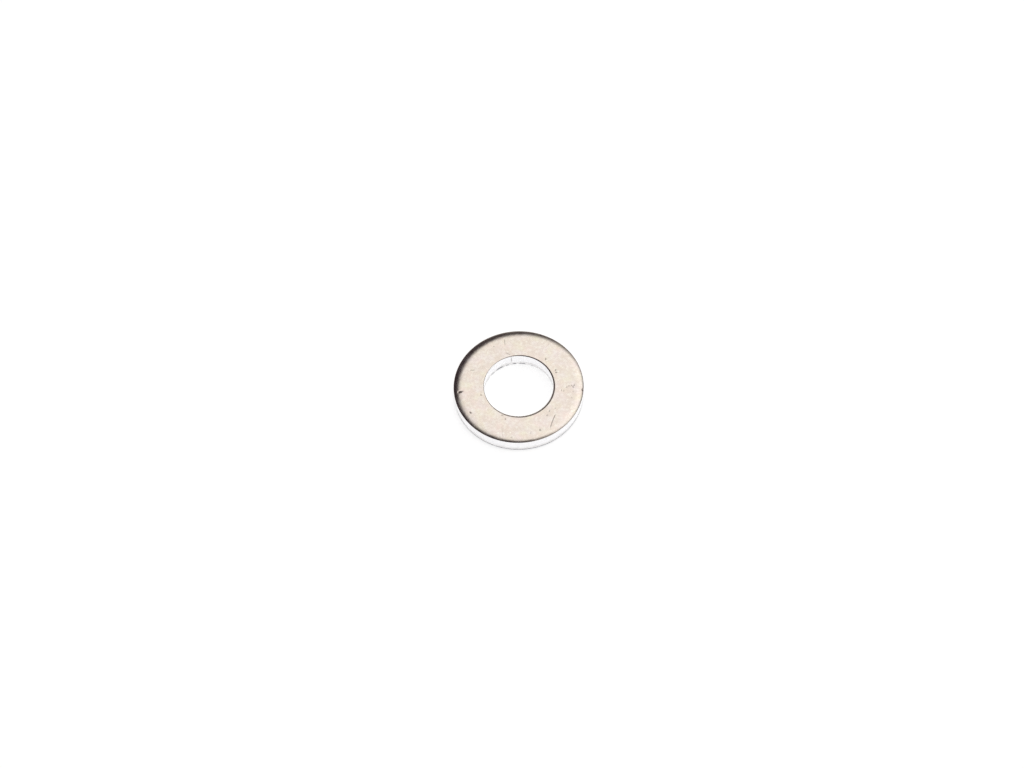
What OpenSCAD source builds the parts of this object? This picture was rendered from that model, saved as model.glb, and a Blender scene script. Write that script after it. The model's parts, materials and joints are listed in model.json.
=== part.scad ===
// Flat metal ring gasket, punched from sheet and plated.
// The punch comes down from above, so both upper edges are rolled over.
// Below the roll each wall has a straight sheared band.
// The lowest part of each wall tore off, so it leans away from the band, and its sharp corner is worn.

/* [Ring] */
// Outside diameter
outer_d = 12; // [10:0.1:16]
// Diameter of the hole
bore_d = 6.4; // [5:0.1:7]
// Thickness of the sheet
thickness = 1.5; // [1.2:0.05:2.2]

/* [Rolled upper edges] */
// How far the outer roll reaches in over the upper face
outer_roll_w = 0.72; // [0.5:0.02:1]
// How far the outer roll reaches down the side
outer_roll_h = 0.16; // [0.1:0.01:0.3]
// How far the roll round the hole reaches out over the upper face
bore_roll_w = 0.17; // [0.13:0.01:0.3]
// How far the roll round the hole reaches down its wall
bore_roll_h = 0.09; // [0.06:0.01:0.12]
// Radius of the tight nose where each roll turns into the wall
nose_r = 0.05; // [0.02:0.01:0.05]

/* [Torn lower walls] */
// Height of the torn part of each wall
torn_h = 0.5; // [0.2:0.02:0.7]
// How far the torn part leans away from the sheared band
torn_lean = 0.02; // [0.01:0.01:0.1]
// Size of the worn corner at each lower edge
worn_corner = 0.05; // [0.02:0.01:0.1]

/* [Hidden] */
$fn = 180;

outer_r = outer_d / 2;
bore_r = bore_d / 2;

// Radius of the arc that leaves the upper face flush, a roll's width from the wall, and runs into its nose
function roll_r(w, h) = (w * w + h * h - 2 * w * nose_r) / (2 * (h - nose_r));

// Place along the roll's width where the big arc hands over to the nose
function handover_x(w, h) = roll_r(w, h) * (w - nose_r) / (roll_r(w, h) - nose_r);

// Metal under a rolled edge, w wide and h high, with its wall at x = w and the upper face at y = h
module rolled_edge(w, h) {
    split_x = handover_x(w, h);
    intersection() {
        translate([0, h - roll_r(w, h)]) circle(roll_r(w, h));
        square([split_x, h]);
    }
    intersection() {
        translate([w - nose_r, 0]) circle(nose_r);
        translate([split_x, 0]) square([w - split_x, h]);
    }
}

// Everything in the section but the two rolls
module straight_section() {
    outer_roll_x = outer_r - outer_roll_w;
    outer_roll_z = thickness - outer_roll_h;
    bore_roll_x = bore_r + bore_roll_w;
    bore_roll_z = thickness - bore_roll_h;
    polygon([
        [bore_r + torn_lean + worn_corner, 0],
        [outer_r - torn_lean - worn_corner, 0],
        [outer_r - torn_lean, worn_corner],
        [outer_r, torn_h],
        [outer_r, outer_roll_z],
        [outer_roll_x, outer_roll_z],
        [outer_roll_x, thickness],
        [bore_roll_x, thickness],
        [bore_roll_x, bore_roll_z],
        [bore_r, bore_roll_z],
        [bore_r, torn_h],
        [bore_r + torn_lean, worn_corner],
    ]);
}

module section() {
    straight_section();
    translate([outer_r - outer_roll_w, thickness - outer_roll_h])
        rolled_edge(outer_roll_w, outer_roll_h);
    translate([bore_r + bore_roll_w, thickness - bore_roll_h])
        mirror([1, 0])
            rolled_edge(bore_roll_w, bore_roll_h);
}

module gasket_ring() {
    color([0.86, 0.81, 0.75])
        rotate_extrude()
            section();
}

gasket_ring();
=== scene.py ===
"""Dresses the flat ring gasket: a punched, plated ring with rolled edges, torn walls and a marked face."""
import json
import math

import bpy
import numpy as np
from mathutils import Matrix, Vector, noise


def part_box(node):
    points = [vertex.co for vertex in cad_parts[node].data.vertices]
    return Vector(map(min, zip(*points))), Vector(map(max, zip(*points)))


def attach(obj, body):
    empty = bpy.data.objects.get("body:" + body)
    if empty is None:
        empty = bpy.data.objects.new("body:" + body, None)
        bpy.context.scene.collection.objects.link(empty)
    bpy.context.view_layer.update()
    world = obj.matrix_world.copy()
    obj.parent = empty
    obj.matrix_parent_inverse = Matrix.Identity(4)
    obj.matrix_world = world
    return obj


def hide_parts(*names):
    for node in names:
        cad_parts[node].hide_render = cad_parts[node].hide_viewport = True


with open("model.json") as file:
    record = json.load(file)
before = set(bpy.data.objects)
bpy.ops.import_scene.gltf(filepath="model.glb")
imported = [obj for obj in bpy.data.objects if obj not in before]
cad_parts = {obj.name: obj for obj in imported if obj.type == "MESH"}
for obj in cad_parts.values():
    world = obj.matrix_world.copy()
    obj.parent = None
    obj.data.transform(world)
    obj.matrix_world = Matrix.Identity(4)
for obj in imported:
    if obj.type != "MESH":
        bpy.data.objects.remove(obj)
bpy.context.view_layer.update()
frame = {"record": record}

MM = 0.001
UP = Vector((0, 0, 1))
RIGHT = Vector((1, 0, 0))
WHITE = (1, 1, 1, 1)

# Sizes of the ring, in metres: the overall ones come from the frame, and the edges are as in the solid
NODE = "gasket_ring"
node_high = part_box(NODE)[1]
mounts = {mount["name"]: mount for mount in frame["record"]["mounts"]}
OUTER_R = max(node_high.x, node_high.y)
BORE_R = mounts["bolt_hole"]["dims"]["r_mm"] * MM
TOP = node_high.z
OUTER_ROLL_W = 0.72 * MM
OUTER_ROLL_H = 0.16 * MM
BORE_ROLL_W = 0.17 * MM
BORE_ROLL_H = 0.09 * MM
NOSE_R = 0.05 * MM
TORN_H = 0.5 * MM
TORN_LEAN = 0.02 * MM
WORN_CORNER = 0.05 * MM

# How finely the ring is divided
STEPS_ROUND = 680
FACE_STEPS = 52
UNDER_STEPS = 8
ROLL_STEPS = 20
BORE_ROLL_STEPS = 8
NOSE_STEPS = 6
BAND_STEPS = 7
TORN_STEPS = 12
CORNER_STEPS = 4

# The punch was off centre, so each roll is largest on one side
# The roll round the hole is also larger in front and behind, across the grain of the sheet
OUTER_DEEP_SIDE = math.radians(142)
OUTER_UNEVEN = 0.25
BORE_DEEP_SIDE = math.radians(-50)
BORE_UNEVEN = 0.58
BORE_CROSS_GRAIN = 0.16

# How rough the surfaces are, in metres
WAVE_DEPTH = 0.003 * MM
WAVE_GRAIN = 0.25 * MM
SCORE_DEPTH = 0.005 * MM
TORN_DEPTH = 0.025 * MM
TORN_GRAIN = 0.07 * MM
TORN_WANDER = 0.25 * MM
TORN_BLEND = 0.02 * MM
OUTER_CHIP = 0.07 * MM
BORE_CHIP = 0.10 * MM

# How high the painted contact shadow reaches up the walls, in metres; at its thinnest it is lost in the
# corner
OUTER_PAINTED_SHADOW = 0.24 * MM
BORE_PAINTED_SHADOW = 0.16 * MM
THIN_PAINTED_SHADOW = 0.001 * MM
# The least height of the outer painted shadow, as a share of its most
PAINTED_SHADOW_LEAST = 0.35
# Where the painted shadow starts and stops fading out, as shares of its height
PAINTED_SHADOW_FADE = (0.6, 1.1)

# Ripples round the ring: fewest and most crests to a turn, number of waves, how much lower fine waves are
OUTER_SCORES = (60, 330, 120, 0.3)
BORE_SCORES = (30, 220, 90, 0.3)
OUTER_TEARS = (4, 330, 160, 0.8)
BORE_TEARS = (4, 220, 120, 0.8)
OUTER_CHIPS = (12, 160, 60, 0.3)
BORE_CHIPS = (12, 120, 60, 0.3)
# Ripples in the height of the painted contact shadow at the feet of the walls, outside and in the hole
OUTER_SHADOW_RIPPLES = (20, 260, 100, 0.2)
BORE_SHADOW_RIPPLES = (14, 80, 40, 0.2)
# Power that leaves only the highest crests of a ripple standing
CREST_POWER = 3
# Share of its ripple at which the torn part has just its own height
TORN_LEVEL = 0.75
# Lumps of noise: how fast the finer ones fall off, the step from size to size, number of sizes
LUMP_FRACTAL = (0.8, 2.0, 4)

# Marks on the upper face, in mm right of and behind the middle of the ring
# Pits: place, radius, depth
PITS = [
    (-5.20, -0.36, 0.11, 0.018),
    (-4.52, -2.66, 0.13, 0.024),
    (2.58, 2.76, 0.13, 0.018),
    (3.45, 1.53, 0.11, 0.019),
    (3.50, 1.28, 0.12, 0.017),
    (4.86, -0.22, 0.10, 0.018),
    (4.98, -0.36, 0.11, 0.020),
    (5.09, -0.18, 0.10, 0.019),
    (4.97, -0.84, 0.11, 0.013),
    (4.80, -1.52, 0.11, 0.012),
    (3.90, -0.68, 0.11, 0.015),
    (4.09, -0.74, 0.10, 0.014),
    (4.38, -0.36, 0.09, 0.015),
    (4.62, -0.24, 0.09, 0.016),
    (5.89, -0.69, 0.12, 0.019),
    (2.70, -2.82, 0.12, 0.017),
    (2.48, -3.26, 0.12, 0.014),
    (3.26, -2.55, 0.11, 0.014),
    (1.77, -4.80, 0.13, 0.021),
    (0.88, -5.07, 0.12, 0.012),
    (-0.87, -5.44, 0.11, 0.014),
    (-1.62, -3.05, 0.11, 0.016),
    (-2.18, 4.33, 0.10, 0.015),
    (-3.25, 2.26, 0.09, 0.009),
    (2.90, 4.34, 0.10, 0.009),
]
# How oval and how lobed the pits are, how far each is turned from the last, and how steep they are
PIT_OVAL = 0.25
PIT_LOBES = 0.15
PIT_TURN = math.radians(137)
PIT_STEEPNESS = 1.6
# Scratches: start, end, width, depth
SCRATCHES = [
    (-5.60, -0.47, -5.22, -0.41, 0.16, 0.032),
    (3.28, -3.12, 2.65, -4.81, 0.09, 0.015),
    (-1.75, -4.22, -1.69, -5.45, 0.09, 0.009),
    (-1.16, 5.10, -1.12, 4.45, 0.10, 0.013),
    (-1.11, 3.61, -0.65, 3.36, 0.09, 0.014),
    (-4.47, 1.90, -4.00, 1.86, 0.09, 0.013),
    (-3.53, -0.74, -3.50, -0.92, 0.10, 0.014),
    (5.35, -0.53, 5.80, -0.55, 0.07, 0.010),
    (4.30, -0.34, 5.05, -0.25, 0.08, 0.009),
    (-1.38, -3.38, -1.34, -3.56, 0.10, 0.015),
]
# How far a scratch bows aside, as a share of its length, and how blunt its ends are
SCRATCH_BOW = 0.03
SCRATCH_BLUNTNESS = 1.2
# Bright bare spots: place, radius
BARE_SPOTS = [
    (-2.04, -4.97, 0.16),
    (-1.57, -5.01, 0.13),
    (-0.93, -4.97, 0.10),
    (-3.14, -4.38, 0.10),
    (-3.30, -3.83, 0.08),
    (4.77, -2.94, 0.14),
    (2.72, 2.58, 0.10),
    (3.73, 1.34, 0.12),
]
# Share of a bare spot's radius that is wholly bare
BARE_CORE = 0.3
# Dashes of painted shadow at the foot of the hole's wall: degrees round the ring, half length in degrees,
# height
BORE_SHADOW_DASHES = [
    (150.0, 3.0, 0.10),
    (136.0, 4.0, 0.16),
    (121.0, 7.0, 0.30),
    (107.0, 2.5, 0.20),
    (95.0, 3.0, 0.24),
    (82.0, 5.5, 0.22),
    (66.0, 2.5, 0.13),
]
# The one mark on the wall of the hole: degrees round the ring, low and high end, width, depth
BORE_MARK = (100.0, 0.45, 1.40, 0.07, 0.020)
# Depths at which a mark starts to be stained and is wholly stained, in metres
STAIN_DEPTHS = (0.003 * MM, 0.029 * MM)

SEED = 7
rng = np.random.default_rng(SEED)
theta = np.linspace(0, 2 * math.pi, STEPS_ROUND, endpoint=False)


def smooth_step(low, high, value):
    """0 below low, 1 above high, and a smooth rise between them."""
    share = np.clip((value - low) / (high - low), 0, 1)
    return share * share * (3 - 2 * share)


def ripple(fewest, most, count, fall):
    """Random ups and downs round the ring, from 0 to 1, made of waves with fewest to most crests to a turn.

    The higher fall is, the lower the waves with many crests are.
    """
    waves = rng.integers(fewest, most, count).astype(float)
    phases = rng.uniform(0, 2 * math.pi, count)
    total = np.cos(np.outer(theta, waves) + phases) @ waves ** -fall
    return (total - total.min()) / np.ptp(total)


# The section of the ring: each row is a radius, a height and an outward normal, in one of these parts
OUTER_WALL, UPPER, BORE_WALL, UNDER = range(4)


def straight(start, end, normal, steps):
    """Points from start up to, but not including, end."""
    share = np.linspace(0, 1, steps, endpoint=False)[:, None]
    places = np.array(start) * (1 - share) + np.array(end) * share
    return np.hstack([places, np.tile(normal, (steps, 1))])


def roll_arcs(width, height):
    """The radius of a roll's big arc, and the tilt at which it hands over to the nose."""
    big_r = (width ** 2 + height ** 2 - 2 * width * NOSE_R) / (2 * (height - NOSE_R))
    return big_r, math.asin((width - NOSE_R) / (big_r - NOSE_R))


def nose(wall_r, side, width, height):
    """Points round the nose of a roll, up from the wall. side is 1 outside and -1 in the hole."""
    handover = roll_arcs(width, height)[1]
    tilt = np.linspace(math.pi / 2, handover, NOSE_STEPS, endpoint=False)
    inset = NOSE_R - NOSE_R * np.sin(tilt)
    rise = TOP - height + NOSE_R * np.cos(tilt)
    return np.column_stack([wall_r - side * inset, rise, side * np.sin(tilt), np.cos(tilt)])


def roll(wall_r, side, width, height, steps):
    """Points along the big arc of a roll, from its nose to the flat face."""
    big_r, handover = roll_arcs(width, height)
    tilt = np.linspace(handover, 0, steps, endpoint=False)
    inset = width - big_r * np.sin(tilt)
    rise = TOP - big_r + big_r * np.cos(tilt)
    return np.column_stack([wall_r - side * inset, rise, side * np.sin(tilt), np.cos(tilt)])


def wall(wall_r, side, roll_h):
    """Points up a wall, from its lower corner to the foot of its roll."""
    foot = (wall_r - side * (TORN_LEAN + WORN_CORNER), 0)
    corner = (wall_r - side * TORN_LEAN, WORN_CORNER)
    band_low = (wall_r, TORN_H)
    band_high = (wall_r, TOP - roll_h)
    slant = (side * math.sqrt(0.5), -math.sqrt(0.5))
    return np.vstack([
        straight(foot, corner, slant, CORNER_STEPS),
        straight(corner, band_low, (side, 0), TORN_STEPS),
        straight(band_low, band_high, (side, 0), BAND_STEPS),
    ])


def section():
    """The closed section: up the outer wall, in over the face, down the hole and back along the underside.

    Also the part of the ring that each of its rows begins.
    """
    outer_roll_x = OUTER_R - OUTER_ROLL_W
    bore_roll_x = BORE_R + BORE_ROLL_W
    foot_inset = TORN_LEAN + WORN_CORNER
    bore_foot = (BORE_R + foot_inset, 0)
    outer_foot = (OUTER_R - foot_inset, 0)
    stretches = [
        (OUTER_WALL, wall(OUTER_R, 1, OUTER_ROLL_H)),
        (OUTER_WALL, nose(OUTER_R, 1, OUTER_ROLL_W, OUTER_ROLL_H)),
        (UPPER, roll(OUTER_R, 1, OUTER_ROLL_W, OUTER_ROLL_H, ROLL_STEPS)),
        (UPPER, straight((outer_roll_x, TOP), (bore_roll_x, TOP), (0, 1), FACE_STEPS)),
        (UPPER, np.array([[bore_roll_x, TOP, 0, 1]])),
        (UPPER, roll(BORE_R, -1, BORE_ROLL_W, BORE_ROLL_H, BORE_ROLL_STEPS)[::-1]),
        (BORE_WALL, nose(BORE_R, -1, BORE_ROLL_W, BORE_ROLL_H)[::-1]),
        (BORE_WALL, wall(BORE_R, -1, BORE_ROLL_H)[::-1]),
        (UNDER, straight(bore_foot, outer_foot, (0, -1), UNDER_STEPS)[1:]),
    ]
    rows = np.vstack([points for part, points in stretches])
    parts = np.concatenate([np.full(len(points), part) for part, points in stretches])
    return rows, parts


def pit_depth(x, y):
    """How deep the pits are at each place on the upper face. Each is oval and lobed, turned its own way."""
    depth = np.zeros_like(x)
    for number, (pit_x, pit_y, radius, deepest) in enumerate(PITS):
        across = (x - pit_x * MM) / (radius * MM)
        back = (y - pit_y * MM) / (radius * MM)
        around = np.arctan2(back, across) - number * PIT_TURN
        outline = 1 + PIT_OVAL * np.cos(2 * around) + PIT_LOBES * np.cos(3 * around + number)
        reach = np.hypot(across, back) / outline
        depth = np.maximum(depth, deepest * MM * np.exp(-PIT_STEEPNESS * reach ** 2))
    return depth


def scratch_depth(x, y):
    """How deep the scratches are at each place on the upper face. They bow to either side in turn."""
    depth = np.zeros_like(x)
    for number, (x0, y0, x1, y1, width, deepest) in enumerate(SCRATCHES):
        start = np.array([x0, y0]) * MM
        run = np.array([x1, y1]) * MM - start
        along = ((x - start[0]) * run[0] + (y - start[1]) * run[1]) / (run @ run)
        along = np.clip(along, 0, 1)
        bow = (-1) ** number * SCRATCH_BOW * (1 - (2 * along - 1) ** 2)
        away_x = x - start[0] - along * run[0] + bow * run[1]
        away_y = y - start[1] - along * run[1] - bow * run[0]
        away = np.hypot(away_x, away_y) / (0.5 * width * MM)
        fade = np.sqrt(np.clip(SCRATCH_BLUNTNESS * (1 - np.abs(2 * along - 1) ** 3), 0, 1))
        depth = np.maximum(depth, deepest * MM * fade * np.exp(-away ** 2))
    return depth


def bore_mark_depth(height):
    """How deep the mark on the wall of the hole is at each place."""
    degrees, low, high, width, deepest = BORE_MARK
    away = BORE_R * (theta - math.radians(degrees)) / (width * MM)
    reach = (height - 0.5 * (low + high) * MM) / (0.5 * (high - low) * MM)
    return deepest * MM * np.exp(-away ** 2) * np.clip(1 - reach ** 4, 0, 1)


def bore_shadow_dashes():
    """How high the dashes of painted shadow reach up the wall of the hole, all the way round."""
    height = np.full(STEPS_ROUND, THIN_PAINTED_SHADOW)
    for degrees, half_length, top in BORE_SHADOW_DASHES:
        away = (theta - math.radians(degrees)) / math.radians(half_length)
        height = np.maximum(height, top * MM * np.exp(-away ** 4))
    return height


def bare_spots(x, y):
    """1 in the middle of a bright bare spot, and 0 away from them."""
    bare = np.zeros_like(x)
    for spot_x, spot_y, radius in BARE_SPOTS:
        reach = np.hypot(x - spot_x * MM, y - spot_y * MM) / (radius * MM)
        bare = np.maximum(bare, 1 - smooth_step(BARE_CORE, 1, reach))
    return bare


def lumps(x, y, z, grain):
    """Noise from 0 to 1 at each place, with lumps about a grain across."""
    places = np.column_stack([x.ravel(), y.ravel(), z.ravel()]) / grain
    values = [noise.fractal(Vector(place), *LUMP_FRACTAL) for place in places]
    return np.clip(0.5 + 0.5 * np.array(values), 0, 1).reshape(x.shape)


# Slack for telling the rolls and the face apart, as a share of a roll's size
SLACK = 0.001


def uneven_rolls(radius, height):
    """Makes each roll larger on its deep side, and moves the flat face between them to fit."""
    bore_growth = 1 + BORE_UNEVEN * np.cos(theta - BORE_DEEP_SIDE) - BORE_CROSS_GRAIN * np.cos(2 * theta)
    outer_growth = 1 + OUTER_UNEVEN * (0.5 + 0.5 * np.cos(theta - OUTER_DEEP_SIDE)) ** 2
    from_bore = radius - BORE_R
    from_edge = OUTER_R - radius
    drop = TOP - height
    most = 1 + SLACK
    in_bore_roll = (from_bore < most * BORE_ROLL_W) & (drop < most * BORE_ROLL_H)
    in_outer_roll = (from_edge < most * OUTER_ROLL_W) & (drop < most * OUTER_ROLL_H)
    on_face = (drop < SLACK * BORE_ROLL_H) & ~in_bore_roll & ~in_outer_roll
    growth = np.where(in_bore_roll, bore_growth, np.where(in_outer_roll, outer_growth, 1))
    face_share = (from_bore - BORE_ROLL_W) / (OUTER_R - OUTER_ROLL_W - BORE_R - BORE_ROLL_W)
    face_start = BORE_R + BORE_ROLL_W * bore_growth
    face_end = OUTER_R - OUTER_ROLL_W * outer_growth
    radius = np.where(on_face, face_start + face_share * (face_end - face_start), radius)
    radius = np.where(in_bore_roll, BORE_R + from_bore * growth, radius)
    radius = np.where(in_outer_roll, OUTER_R - from_edge * growth, radius)
    return radius, TOP - drop * growth


# Least reach of a normal: outwards on a wall, outwards and down on a lower corner, up on the upper side
WALL_OUT = 0.99
CORNER_OUT = 0.1
UPPER_UP = 0.05
# How far a normal points outwards where the walls' tint starts, and where it has wholly taken over
WALL_TINT = (0.75, 0.98)


def ring_surface(rows, parts):
    """Places and masks of the ring's points, one row for each row of the section."""
    radius, height, normal_r, normal_z = np.split(rows, 4, axis=1)
    radius, height = uneven_rolls(radius, height)
    cos, sin = np.cos(theta), np.sin(theta)
    is_outer = (parts == OUTER_WALL)[:, None]
    is_bore = (parts == BORE_WALL)[:, None]
    is_wall = np.abs(normal_r) > WALL_OUT
    is_corner = (normal_z < -CORNER_OUT) & (np.abs(normal_r) > CORNER_OUT)
    is_upper = normal_z > UPPER_UP

    # Scored lines run up the sheared bands, and the torn part ends at a wandering height
    scores = np.where(is_outer, ripple(*OUTER_SCORES), ripple(*BORE_SCORES))
    tears = np.where(is_outer, ripple(*OUTER_TEARS), ripple(*BORE_TEARS))
    torn_edge = TORN_H + TORN_WANDER * (tears - TORN_LEVEL)
    torn = is_wall * (1 - smooth_step(torn_edge - TORN_BLEND, torn_edge + TORN_BLEND, height))
    torn = np.where(is_corner, 1, torn)

    # The lower corners are chipped, and a painted contact shadow lies at the feet of the walls
    outer_chips = OUTER_CHIP * ripple(*OUTER_CHIPS) ** CREST_POWER
    bore_chips = BORE_CHIP * ripple(*BORE_CHIPS) ** CREST_POWER
    chips = np.where(is_outer, outer_chips, bore_chips)
    outer_painted_shadow = OUTER_PAINTED_SHADOW * (PAINTED_SHADOW_LEAST + (1 - PAINTED_SHADOW_LEAST) * ripple(*OUTER_SHADOW_RIPPLES))
    bore_painted_shadow = np.maximum(BORE_PAINTED_SHADOW * ripple(*BORE_SHADOW_RIPPLES) ** CREST_POWER, bore_shadow_dashes())
    shadow_top = np.where(is_outer, outer_painted_shadow, bore_painted_shadow)
    fade_low, fade_high = (share * shadow_top for share in PAINTED_SHADOW_FADE)
    painted_shadow = (is_wall | is_corner) * (1 - smooth_step(fade_low, fade_high, height))

    # How far each point lies inside the clean section
    grain = lumps(radius * cos, radius * sin, height, TORN_GRAIN)
    waves = lumps(radius * cos, radius * sin, height, WAVE_GRAIN)
    bore_mark = is_bore * is_wall * bore_mark_depth(height)
    inward = is_wall * (1 - torn) * SCORE_DEPTH * scores
    inward = inward + torn * TORN_DEPTH * grain + is_upper * WAVE_DEPTH * waves
    inward = inward + is_corner * (height > 0) * chips
    inward = np.maximum(inward, bore_mark)

    radius = radius - normal_r * inward
    height = height - normal_z * inward
    x = radius * cos
    y = radius * sin
    marks = is_upper * np.maximum(pit_depth(x, y), scratch_depth(x, y))
    z = np.maximum(height - marks, 0)
    masks = {
        "stain": smooth_step(*STAIN_DEPTHS, np.maximum(marks, bore_mark)),
        "painted_shadow": painted_shadow,
        "bare": is_upper * bare_spots(x, y),
        "wall": smooth_step(*WALL_TINT, np.abs(normal_r)),
        "torn": torn,
    }
    masks = {name: np.broadcast_to(values, x.shape) for name, values in masks.items()}
    return np.stack([x, y, z], axis=-1), masks


# Layout of the ring's baked textures, as shares of a square texture
UPPER_MIDDLE = (0.32, 0.32)
UPPER_SPAN = 0.62
UNDER_MIDDLE = (0.82, 0.18)
UNDER_SPAN = 0.33
OUTER_STRIP = (0.66, 0.80)
BORE_STRIP = (0.83, 0.97)
STRIP_MARGIN = 0.01


def bake_map(mesh, rows, parts, places, corner_rows, corner_steps):
    """Lays the ring out flat: the upper side and underside as seen from above, the walls as strips."""
    across = np.roll(rows[:, :2], -1, axis=0) - rows[:, :2]
    lengths = np.concatenate([[0], np.cumsum(np.hypot(across[:, 0], across[:, 1]))])
    seen = places[corner_rows % len(rows), corner_steps % STEPS_ROUND, :2] / (2 * OUTER_R)
    face_part = parts[corner_rows[:, 0]][:, None]
    face_map = np.zeros(corner_rows.shape + (2,))
    for part, middle, span in ((UPPER, UPPER_MIDDLE, UPPER_SPAN), (UNDER, UNDER_MIDDLE, UNDER_SPAN)):
        face_map = np.where((face_part == part)[..., None], np.array(middle) + span * seen, face_map)
    for part, (low, high) in ((OUTER_WALL, OUTER_STRIP), (BORE_WALL, BORE_STRIP)):
        own = np.flatnonzero(parts == part)
        first, last = lengths[own[0]], lengths[own[-1] + 1]
        along = STRIP_MARGIN + (1 - 2 * STRIP_MARGIN) * corner_steps / STEPS_ROUND
        up = low + (high - low) * (lengths[corner_rows] - first) / (last - first)
        face_map = np.where((face_part == part)[..., None], np.stack([along, up], axis=-1), face_map)
    layer = mesh.uv_layers.new(name="OFBake")
    layer.uv.foreach_set("vector", face_map.astype(np.float32).ravel())


def build_ring():
    """The ring as one closed mesh, with its masks as point attributes."""
    rows, parts = section()
    places, masks = ring_surface(rows, parts)
    count = len(rows)
    grids = np.meshgrid(range(count), range(STEPS_ROUND), indexing="ij")
    row, step = (grid.ravel()[:, None] for grid in grids)
    corner_rows = row + np.array([0, 0, 1, 1])
    corner_steps = step + np.array([0, 1, 1, 0])
    quads = corner_rows % count * STEPS_ROUND + corner_steps % STEPS_ROUND
    mesh = bpy.data.meshes.new("gasket_ring_plated")
    mesh.from_pydata(places.reshape(-1, 3).tolist(), [], quads.tolist())
    mesh.polygons.foreach_set("use_smooth", np.ones(len(quads), bool))
    for name, values in masks.items():
        layer = mesh.attributes.new(name, "FLOAT", "POINT")
        layer.data.foreach_set("value", values.ravel().astype(np.float32))
    bake_map(mesh, rows, parts, places, corner_rows, corner_steps)
    mesh.update()
    ring = bpy.data.objects.new("gasket_ring_plated", mesh)
    bpy.context.scene.collection.objects.link(ring)
    return ring


class Nodes:
    """The nodes of a material or a sky, with short calls to add and join them."""

    def __init__(self, tree):
        self.tree = tree
        tree.nodes.clear()

    def add(self, kind, inputs=None, **settings):
        """A new node with these settings, whose inputs are plain values or other nodes' outputs."""
        made = self.tree.nodes.new(kind)
        for name, value in settings.items():
            setattr(made, name, value)
        for name, value in (inputs or {}).items():
            self.put(made.inputs[name], value)
        return made

    def put(self, socket, value):
        """Joins an input to another node's output, or sets it to a plain value."""
        if isinstance(value, bpy.types.NodeSocket):
            self.tree.links.new(value, socket)
        else:
            socket.default_value = value

    def mask(self, name):
        """One of the masks that the mesh carries."""
        return self.add("ShaderNodeAttribute", attribute_name=name).outputs["Fac"]

    def noise(self, coordinates, grain, detail, rough=0.5):
        """Noise whose lumps are about grain metres across."""
        return self.add(
            "ShaderNodeTexNoise",
            {"Vector": coordinates, "Scale": 1 / grain, "Detail": detail, "Roughness": rough},
        ).outputs["Fac"]

    def spread(self, value, low, high, to_low, to_high):
        """Maps low..high to to_low..to_high, clamped."""
        return self.add(
            "ShaderNodeMapRange",
            {"Value": value, "From Min": low, "From Max": high, "To Min": to_low, "To Max": to_high},
        ).outputs["Result"]

    def rise(self, value, low, high):
        """Goes smoothly from 0 at low to 1 at high."""
        return self.add(
            "ShaderNodeMapRange",
            {"Value": value, "From Min": low, "From Max": high},
            interpolation_type="SMOOTHSTEP",
        ).outputs["Result"]

    def maths(self, operation, first, second):
        """What the operation makes of the two values."""
        made = self.add("ShaderNodeMath", operation=operation)
        self.put(made.inputs[0], first)
        self.put(made.inputs[1], second)
        return made.outputs["Value"]

    def blend(self, share, first, second):
        """A colour that goes from first, where share is 0, to second, where it is 1."""
        made = self.add("ShaderNodeMix", {"Factor": share}, data_type="RGBA")
        inputs = {socket.identifier: socket for socket in made.inputs}
        self.put(inputs["A_Color"], first)
        self.put(inputs["B_Color"], second)
        outputs = {socket.identifier: socket for socket in made.outputs}
        return outputs["Result_Color"]

    def along(self, way, axis):
        """How far the direction way points along the axis."""
        made = self.add("ShaderNodeVectorMath", operation="DOT_PRODUCT")
        self.put(made.inputs[0], way)
        self.put(made.inputs[1], axis)
        return made.outputs["Value"]


# Colours of the metal, of what lies on it, and of the painted shadow at the feet of the walls
ROSY = (0.912, 0.767, 0.690, 1)
STRAW = (0.89, 0.822, 0.660, 1)
PALE = (0.90, 0.805, 0.775, 1)
BARE_METAL = (0.98, 0.94, 0.84, 1)
DULL_PATCH = (0.80, 0.70, 0.61, 1)
PALE_WALL = (0.985, 0.98, 0.99, 1)
SCORED_WALL = (0.90, 0.90, 0.915, 1)
TORN_GREY = (0.78, 0.76, 0.75, 1)
STAIN_BROWN = (0.16, 0.12, 0.10, 1)
# Painted contact shadow at the feet of the walls
PAINTED_SHADOW_GREY = (0.22, 0.22, 0.25, 1)

# Sizes of the patterns in the metal, in metres, and how much the scores are drawn out upwards
PATCH_SIZE = 1.3 * MM
FADING_SIZE = 0.9 * MM
MOTTLE_SIZE = 0.85 * MM
SPECK_SIZE = 0.26 * MM
GRAIN_SIZE = 0.03 * MM
SCORE_SIZE = 0.08 * MM
SCORE_SQUEEZE = 0.05

# Values of a pattern between which it goes from none to its full share, and these shares
EVEN_RANGE = (0.35, 0.65)
DULL_RANGE = (0.60, 0.30)
DARK_SPECKS = (0.50, 0.26)
LIGHT_SPECKS = (0.50, 0.74)
FADING_SHARE = 0.75
DULL_SHARE = 0.95
DARK_SPECK_SHARE = 0.5
LIGHT_SPECK_SHARE = 0.55
STAIN_SHARE = 0.85
# Share of the painted contact shadow where it is darkest
PAINTED_SHADOW_SHARE = 0.9

# Roughness of the plating over a range of the mottle, and what torn and stained metal adds to it
MOTTLE_RANGE = (0.3, 0.7)
PLATING_ROUGHNESS = (0.15, 0.22)
TORN_ROUGHNESS = 0.25
STAIN_ROUGHNESS = 0.2

# The finest relief: shares of the grain and of the specks, and its depth in metres
GRAIN_RELIEF = 0.3
SPECK_RELIEF = 0.6
RELIEF_DEPTH = 0.0015 * MM


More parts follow.
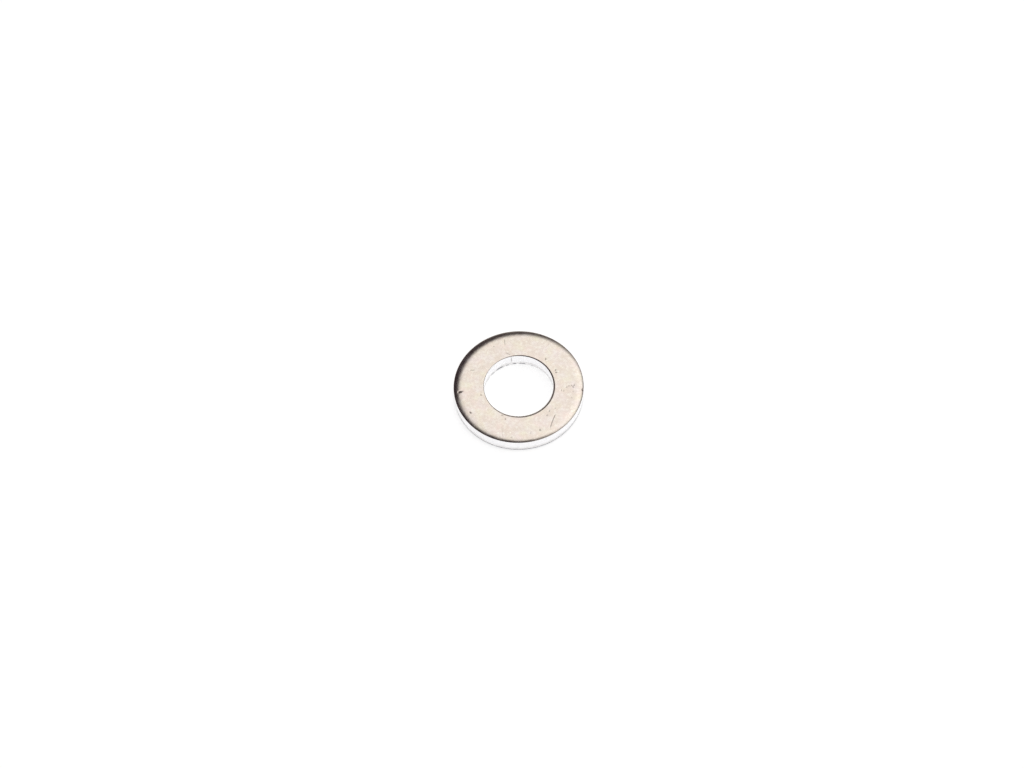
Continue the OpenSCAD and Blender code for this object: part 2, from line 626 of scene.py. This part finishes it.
def plated_metal():
    """Satin plated metal: a mottled warm face, paler scored walls, grainy torn parts, dark residue and a
    painted contact shadow at the feet of the walls.
    """
    material = bpy.data.materials.new("plated_steel_worn")
    material.use_nodes = True
    nodes = Nodes(material.node_tree)
    place = nodes.add("ShaderNodeTexCoord").outputs["Object"]
    stain = nodes.mask("stain")
    painted_shadow = nodes.mask("painted_shadow")
    bare = nodes.mask("bare")
    walls = nodes.mask("wall")
    torn = nodes.mask("torn")

    shifted = nodes.add("ShaderNodeMapping", {"Vector": place, "Location": (0, 0, OUTER_R)})
    upright = nodes.add("ShaderNodeMapping", {"Vector": place, "Scale": (1, 1, SCORE_SQUEEZE)})
    patches = nodes.noise(place, PATCH_SIZE, detail=1)
    fading = nodes.noise(shifted.outputs["Vector"], FADING_SIZE, detail=1)
    mottle = nodes.noise(place, MOTTLE_SIZE, detail=3)
    specks = nodes.noise(place, SPECK_SIZE, detail=1)
    grain = nodes.noise(place, GRAIN_SIZE, detail=3, rough=0.6)
    scores = nodes.noise(upright.outputs["Vector"], SCORE_SIZE, detail=4, rough=0.7)

    face = nodes.blend(nodes.spread(patches, *EVEN_RANGE, 0, 1), ROSY, STRAW)
    face = nodes.blend(nodes.spread(fading, *EVEN_RANGE, 0, FADING_SHARE), face, PALE)
    face = nodes.blend(nodes.spread(mottle, *DULL_RANGE, 0, DULL_SHARE), face, DULL_PATCH)
    face = nodes.blend(nodes.spread(specks, *DARK_SPECKS, 0, DARK_SPECK_SHARE), face, DULL_PATCH)
    face = nodes.blend(nodes.spread(specks, *LIGHT_SPECKS, 0, LIGHT_SPECK_SHARE), face, BARE_METAL)
    face = nodes.blend(bare, face, BARE_METAL)
    side = nodes.blend(nodes.spread(scores, *EVEN_RANGE, 0, 1), SCORED_WALL, PALE_WALL)
    torn_tint = nodes.blend(nodes.spread(grain, *EVEN_RANGE, 0, 1), TORN_GREY, PALE_WALL)
    tint = nodes.blend(walls, face, side)
    tint = nodes.blend(torn, tint, torn_tint)
    tint = nodes.blend(nodes.maths("MULTIPLY", stain, STAIN_SHARE), tint, STAIN_BROWN)
    # Painted contact shadow at the feet of the walls and in dashes at the foot of the hole's wall
    tint = nodes.blend(nodes.maths("MULTIPLY", painted_shadow, PAINTED_SHADOW_SHARE), tint, PAINTED_SHADOW_GREY)

    satin = nodes.spread(mottle, *MOTTLE_RANGE, *PLATING_ROUGHNESS)
    satin = nodes.maths("ADD", satin, nodes.maths("MULTIPLY", torn, TORN_ROUGHNESS))
    satin = nodes.maths("ADD", satin, nodes.maths("MULTIPLY", stain, STAIN_ROUGHNESS))

    relief = nodes.maths("MULTIPLY", grain, GRAIN_RELIEF)
    relief = nodes.maths("ADD", relief, nodes.maths("MULTIPLY", scores, walls))
    relief = nodes.maths("ADD", relief, nodes.maths("MULTIPLY", specks, SPECK_RELIEF))
    bump = nodes.add("ShaderNodeBump", {"Height": relief, "Strength": 1, "Distance": RELIEF_DEPTH})

    shader = nodes.add(
        "ShaderNodeBsdfPrincipled",
        {"Base Color": tint, "Metallic": 1, "Roughness": satin, "Normal": bump.outputs["Normal"]},
    )
    nodes.add("ShaderNodeOutputMaterial", {"Surface": shader.outputs["BSDF"]})
    return material


FLOOR_COLOUR = (0.60, 0.60, 0.60, 1)
FLOOR_GLOW = 0.75
FLOOR_SIDE = 0.8


def white_floor():
    """Pale floor that shows white to the camera and in the metal, and still takes the ring's shadow."""
    material = bpy.data.materials.new("white_floor")
    material.use_nodes = True
    nodes = Nodes(material.node_tree)
    path = nodes.add("ShaderNodeLightPath").outputs
    seen = nodes.maths("MAXIMUM", path["Is Camera Ray"], path["Is Glossy Ray"])
    seen = nodes.maths("MAXIMUM", seen, path["Is Transmission Ray"])
    matt = nodes.add("ShaderNodeBsdfDiffuse", {"Color": FLOOR_COLOUR})
    glow = nodes.add("ShaderNodeEmission", {"Strength": nodes.maths("MULTIPLY", seen, FLOOR_GLOW)})
    both = nodes.add("ShaderNodeAddShader")
    nodes.put(both.inputs[0], matt.outputs["BSDF"])
    nodes.put(both.inputs[1], glow.outputs["Emission"])
    nodes.add("ShaderNodeOutputMaterial", {"Surface": both.outputs["Shader"]})
    return material


def build_floor():
    """A flat floor under the ring."""
    half = FLOOR_SIDE / 2
    corners = [(-half, -half, 0), (half, -half, 0), (half, half, 0), (-half, half, 0)]
    mesh = bpy.data.meshes.new("floor")
    mesh.from_pydata(corners, [], [(0, 1, 2, 3)])
    mesh.materials.append(white_floor())
    floor = bpy.data.objects.new("floor", mesh)
    bpy.context.scene.collection.objects.link(floor)


def direction(azimuth, elevation):
    """The direction at so many degrees round from the right and up from the floor."""
    turn, lift = math.radians(azimuth), math.radians(elevation)
    return Vector((math.cos(lift) * math.cos(turn), math.cos(lift) * math.sin(turn), math.sin(lift)))


# One soft oval light above and behind the ring, brighter towards the right
KEY_WAY = direction(67.2, 59.5)
KEY_SLANT = math.radians(51)
KEY_HALF_LENGTH = math.radians(38.5)
KEY_HALF_WIDTH = math.radians(29.8)
KEY_LEFT = (0.885, 0.885, 0.885, 1)
KEY_RIGHT = (1.245, 1.245, 1.245, 1)
KEY_SPREAD = (-0.3, 0.5)
# Share of the oval that is at full strength, at its rear and at its front, and where these are
KEY_CORE = (0.33, 0.75)
KEY_CORE_SPREAD = (-0.35, 0.30)
# How far to the right the oval is cut off, and where that starts
KEY_CUT = (0.60, 0.42)

# A dark ceiling, paler low walls and a pale patch in front on the right
CEILING_COLOUR = (0.028, 0.020, 0.026, 1)
WALL_COLOUR = (0.26, 0.25, 0.24, 1)
WALL_EDGE = (math.sin(math.radians(30)), math.sin(math.radians(20)))
SIDE_WAY = direction(-30, 38)
SIDE_EDGE = (math.cos(math.radians(50)), math.cos(math.radians(20)))
SIDE_COLOUR = (0.40, 0.39, 0.38, 1)

# A lamp overhead for the floor alone, in metres and watts
LAMP_HEIGHT = 0.4
LAMP_SIDE = 0.1
LAMP_POWER = 0.28


def key_share(nodes, way):
    """How much of the oval light is seen in each direction. Its rear edge is soft, its right end cut off."""
    level = UP.cross(KEY_WAY).normalized()
    steep = KEY_WAY.cross(level)
    length = level * math.cos(KEY_SLANT) + steep * math.sin(KEY_SLANT)
    width = steep * math.cos(KEY_SLANT) - level * math.sin(KEY_SLANT)
    off_length = nodes.maths("POWER", nodes.along(way, length / math.sin(KEY_HALF_LENGTH)), 2)
    off_width = nodes.maths("POWER", nodes.along(way, width / math.sin(KEY_HALF_WIDTH)), 2)
    off = nodes.maths("POWER", nodes.maths("ADD", off_length, off_width), 0.5)
    core = nodes.spread(nodes.along(way, steep), *KEY_CORE_SPREAD, *KEY_CORE)
    cut = nodes.rise(nodes.along(way, RIGHT), *KEY_CUT)
    return nodes.maths("MULTIPLY", nodes.rise(off, 1, core), cut)


def build_sky():
    """The sky of the studio: white where the camera looks past the floor, and the lit room elsewhere."""
    world = bpy.data.worlds.new("studio")
    world.use_nodes = True
    bpy.context.scene.world = world
    nodes = Nodes(world.node_tree)
    way = nodes.add("ShaderNodeTexCoord").outputs["Generated"]
    room = nodes.blend(nodes.rise(nodes.along(way, SIDE_WAY), *SIDE_EDGE), CEILING_COLOUR, SIDE_COLOUR)
    room = nodes.blend(nodes.rise(nodes.along(way, UP), *WALL_EDGE), room, WALL_COLOUR)
    key = nodes.blend(nodes.spread(nodes.along(way, RIGHT), *KEY_SPREAD, 0, 1), KEY_LEFT, KEY_RIGHT)
    colour = nodes.blend(key_share(nodes, way), room, key)
    path = nodes.add("ShaderNodeLightPath").outputs
    light = nodes.add("ShaderNodeBackground", {"Color": colour, "Strength": 1})
    white = nodes.add("ShaderNodeBackground", {"Color": WHITE, "Strength": 1})
    pick = nodes.add("ShaderNodeMixShader", {"Fac": path["Is Camera Ray"]})
    nodes.put(pick.inputs[1], light.outputs["Background"])
    nodes.put(pick.inputs[2], white.outputs["Background"])
    nodes.add("ShaderNodeOutputWorld", {"Surface": pick.outputs["Shader"]})


def build_lamp():
    """A wide lamp overhead that lights the floor; the metal doesn't mirror it."""
    data = bpy.data.lights.new("overhead", "AREA")
    data.size = LAMP_SIDE
    data.energy = LAMP_POWER
    lamp = bpy.data.objects.new("overhead", data)
    lamp.location.z = LAMP_HEIGHT
    lamp.visible_camera = False
    lamp.visible_glossy = False
    bpy.context.scene.collection.objects.link(lamp)


# The photograph's camera
PHOTO_W = 1024
PHOTO_H = 768
RING_PIXEL = (518.85, 393.72)
FOCAL_PIXELS = 2400
RADIUS_PIXELS = 64.85
CAMERA_ELEVATION = math.radians(59.1)
CAMERA_ROLL = math.radians(-2.3)
SENSOR_MM = 36
# What the camera sees begins and ends at these shares of its distance from the ring
CLIP_SHARES = (0.01, 100)


def build_camera():
    """The photograph's camera: the ring sits a little right of and below the middle of the picture."""
    data = bpy.data.cameras.new("camera")
    data.sensor_width = SENSOR_MM
    data.lens = FOCAL_PIXELS / PHOTO_W * SENSOR_MM
    distance = FOCAL_PIXELS / RADIUS_PIXELS * OUTER_R
    data.clip_start, data.clip_end = (share * distance for share in CLIP_SHARES)
    back = Vector((0, -math.cos(CAMERA_ELEVATION), math.sin(CAMERA_ELEVATION)))
    turn = (-back).to_track_quat("-Z", "Y").to_matrix() @ Matrix.Rotation(CAMERA_ROLL, 3, "Z")
    per_pixel = distance / FOCAL_PIXELS
    aside_x = (RING_PIXEL[0] - PHOTO_W / 2) * per_pixel
    aside_y = (PHOTO_H / 2 - RING_PIXEL[1]) * per_pixel
    aside = Vector((aside_x, aside_y, 0))
    camera = bpy.data.objects.new("camera", data)
    camera.matrix_world = Matrix.Translation(back * distance - turn @ aside) @ turn.to_4x4()
    bpy.context.scene.collection.objects.link(camera)
    bpy.context.scene.camera = camera


ring = build_ring()
ring.data.materials.append(plated_metal())
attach(ring, "root")
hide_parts(NODE)
build_floor()
build_sky()
build_lamp()
build_camera()
bpy.context.scene.view_settings.view_transform = "Standard"
